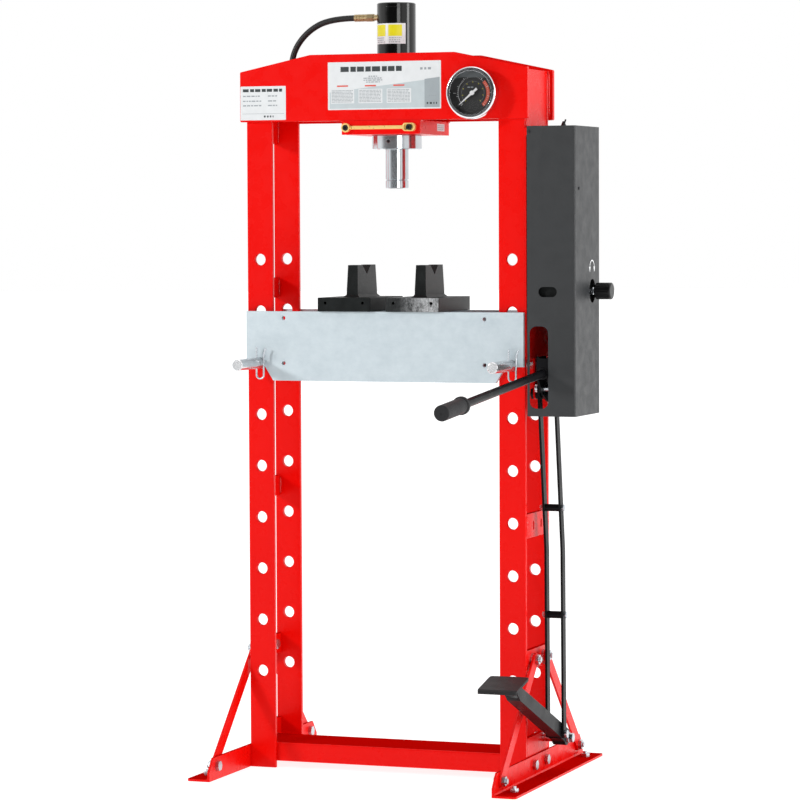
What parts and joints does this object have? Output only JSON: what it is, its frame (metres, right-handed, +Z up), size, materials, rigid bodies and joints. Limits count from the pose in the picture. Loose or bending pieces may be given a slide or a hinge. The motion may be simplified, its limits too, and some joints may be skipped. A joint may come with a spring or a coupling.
{
  "type": "hydraulic shop press",
  "caption": "Floor-standing H-frame hydraulic shop press with a hand lever and foot pedal pump, a pressure gauge, an adjustable pinned bed and V-blocks.",
  "frame": {"origin": "on the floor, midway between the two uprights and midway between their front and rear bars", "axes": "+X towards the pump side, +Y towards the back, +Z up along the ram's axis"},
  "size_m": [0.865, 1.065, 1.703],
  "materials": {
    "red_paint": "gloss red enamel",
    "black_gloss": "gloss black enamel",
    "black_paint": "satin black enamel",
    "dark_powder": "satin dark grey powder coat",
    "chrome": "polished",
    "zinc_steel": "bright zinc plate",
    "plain_steel": "machined",
    "black_iron": "black oxide",
    "brass": "machined",
    "yellow_zinc": "yellow zinc plate",
    "hose_rubber": "matt black cover",
    "grip_rubber": "moulded grip",
    "knob_plastic": "moulded, fluted",
    "dial_face": "printed dial",
    "needle_white": "white pointer",
    "clear_glass": "clear"
  },
  "bodies": {
    "frame": {"upright_front_left": "red_paint", "upright_front_right": "red_paint", "upright_rear_left": "red_paint", "upright_rear_right": "red_paint", "tie_plates_left": "red_paint", "tie_plates_right": "red_paint", "head_front_plate": "red_paint", "head_rear_plate": "red_paint", "base_channel": "red_paint", "foot_left": "red_paint", "foot_right": "red_paint", "foot_braces": "red_paint", "cylinder_mount": "red_paint", "pump_bracket": "red_paint", "cylinder_barrel": "black_gloss", "cylinder_cap": "black_gloss", "pump_cover": "dark_powder", "ram_collar": "chrome", "gauge_bezel": "chrome", "gauge_case": "chrome", "frame_bolts": "zinc_steel", "pump_fasteners": "zinc_steel", "pedal_pivot": "zinc_steel", "return_spring": "plain_steel", "lever_pivot": "black_iron", "mount_screws": "black_iron", "pump_block": "black_iron", "pump_tank": "black_iron", "hose_fittings": "brass", "gauge_stem": "brass", "mount_strap": "yellow_zinc", "pressure_hose": "hose_rubber", "vent_tube": "hose_rubber", "gauge_dial": "dial_face", "gauge_glass": "clear_glass"},
    "ram": {"ram_rod": "chrome", "ram_tip": "chrome", "ram_piston": "plain_steel"},
    "bed": {"bed_front_plate": "zinc_steel", "bed_rear_plate": "zinc_steel", "bed_spacers": "zinc_steel"},
    "v_block_l": {"v_block_left": "black_iron"},
    "v_block_r": {"v_block_right": "black_iron"},
    "bed_pin_l": {"bed_pin_left": "chrome", "pin_clip_left": "zinc_steel"},
    "bed_pin_r": {"bed_pin_right": "chrome", "pin_clip_right": "zinc_steel"},
    "handle": {"handle_lever": "black_paint", "handle_shaft": "black_paint", "handle_grip": "grip_rubber"},
    "linkage": {"link_bars": "black_paint", "link_spacers": "black_paint", "link_bolts": "zinc_steel"},
    "pedal": {"pedal_arm": "black_paint", "pedal_pad": "black_paint", "pedal_pin": "zinc_steel"},
    "plunger": {"pump_plunger": "plain_steel"},
    "release_valve": {"valve_spindle": "zinc_steel", "release_knob": "knob_plastic"},
    "needle": {"gauge_needle": "needle_white"}
  },
  "joints": [
    {"name": "ram_stroke", "type": "slide", "parent": "frame", "child": "ram", "axis": [0, 0, -1], "range_m": [0, 0.12], "deforming": ["return_spring"]},
    {"name": "bed_lift", "type": "slide", "parent": "frame", "child": "bed", "axis": [0, 0, 1], "range_m": [0, 0.115]},
    {"name": "v_block_left_slide", "type": "slide", "parent": "bed", "child": "v_block_l", "axis": [1, 0, 0], "range_m": [-0.105, 0.016]},
    {"name": "v_block_right_slide", "type": "slide", "parent": "bed", "child": "v_block_r", "axis": [1, 0, 0], "range_m": [-0.016, 0.125]},
    {"name": "bed_pin_left_pull", "type": "slide", "parent": "frame", "child": "bed_pin_l", "axis": [0, -1, 0], "range_m": [0, 0.33]},
    {"name": "bed_pin_right_pull", "type": "slide", "parent": "frame", "child": "bed_pin_r", "axis": [0, -1, 0], "range_m": [0, 0.33]},
    {"name": "handle_pump", "type": "hinge", "parent": "frame", "child": "handle", "pos_m": [0.3645, -0.015, 0.844], "axis": [1, 0, 0], "range_deg": [-22, 20]},
    {"name": "link_swing", "type": "hinge", "parent": "handle", "child": "linkage", "pos_m": [0.3645, -0.048, 0.857], "axis": [1, 0, 0], "range_deg": [-21, 23]},
    {"name": "pedal_pump", "type": "hinge", "parent": "frame", "child": "pedal", "pos_m": [0.3645, 0.041, 0.081], "axis": [1, 0, 0], "range_deg": [-23, 21]},
    {"name": "plunger_stroke", "type": "slide", "parent": "frame", "child": "plunger", "axis": [0, 0, 1], "range_m": [-0.0155, 0.0145]},
    {"name": "release_turn", "type": "hinge", "parent": "frame", "child": "release_valve", "pos_m": [0.4, 0.036, 1.0675], "axis": [1, 0, 0], "range_deg": [0, 270]},
    {"name": "needle_turn", "type": "hinge", "parent": "frame", "child": "needle", "pos_m": [0.218, -0.121, 1.498], "axis": [0, 1, 0], "range_deg": [0, 270]}
  ],
  "couplings": [
    {"joint": "link_swing", "follows": "handle_pump", "ratio": -1},
    {"joint": "pedal_pump", "follows": "handle_pump", "ratio": 1},
    {"joint": "plunger_stroke", "follows": "handle_pump", "m_per_rad": 0.0388}
  ]
}
